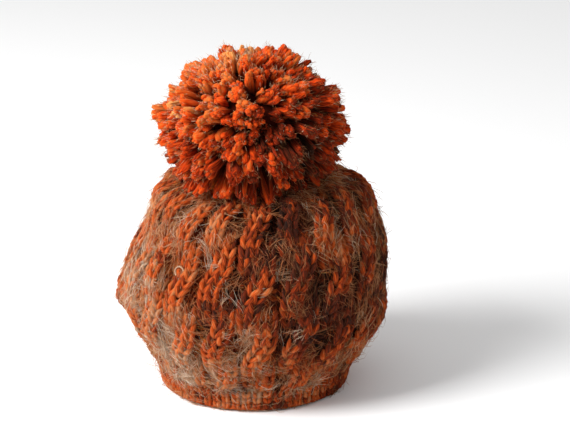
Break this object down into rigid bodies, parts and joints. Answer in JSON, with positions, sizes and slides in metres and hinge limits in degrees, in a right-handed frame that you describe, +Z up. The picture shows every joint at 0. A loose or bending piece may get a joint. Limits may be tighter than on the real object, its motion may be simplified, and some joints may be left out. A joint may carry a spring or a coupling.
{
  "type": "knitted tea cosy",
  "caption": "Hollow cable-knit tea cosy with a ribbed hem, an upright slit in each side for spout and handle, and a large round pompom on its gathered crown.",
  "frame": {"origin": "centre of the bounding box in plan, on the plane that the hem stands on", "axes": "+Z up through the pompom, -X towards the spout slit, +X towards the handle slit, -Y towards the front"},
  "size_m": [0.1939, 0.1958, 0.2561],
  "materials": {
    "cabled_yarn": "matte brushed wool, rust with tan and brown fibres",
    "pompom_yarn": "matte cut wool yarn, bright rust orange"
  },
  "bodies": {
    "root": {"knitted_body": "cabled_yarn", "pompom": "pompom_yarn"}
  },
  "joints": []
}
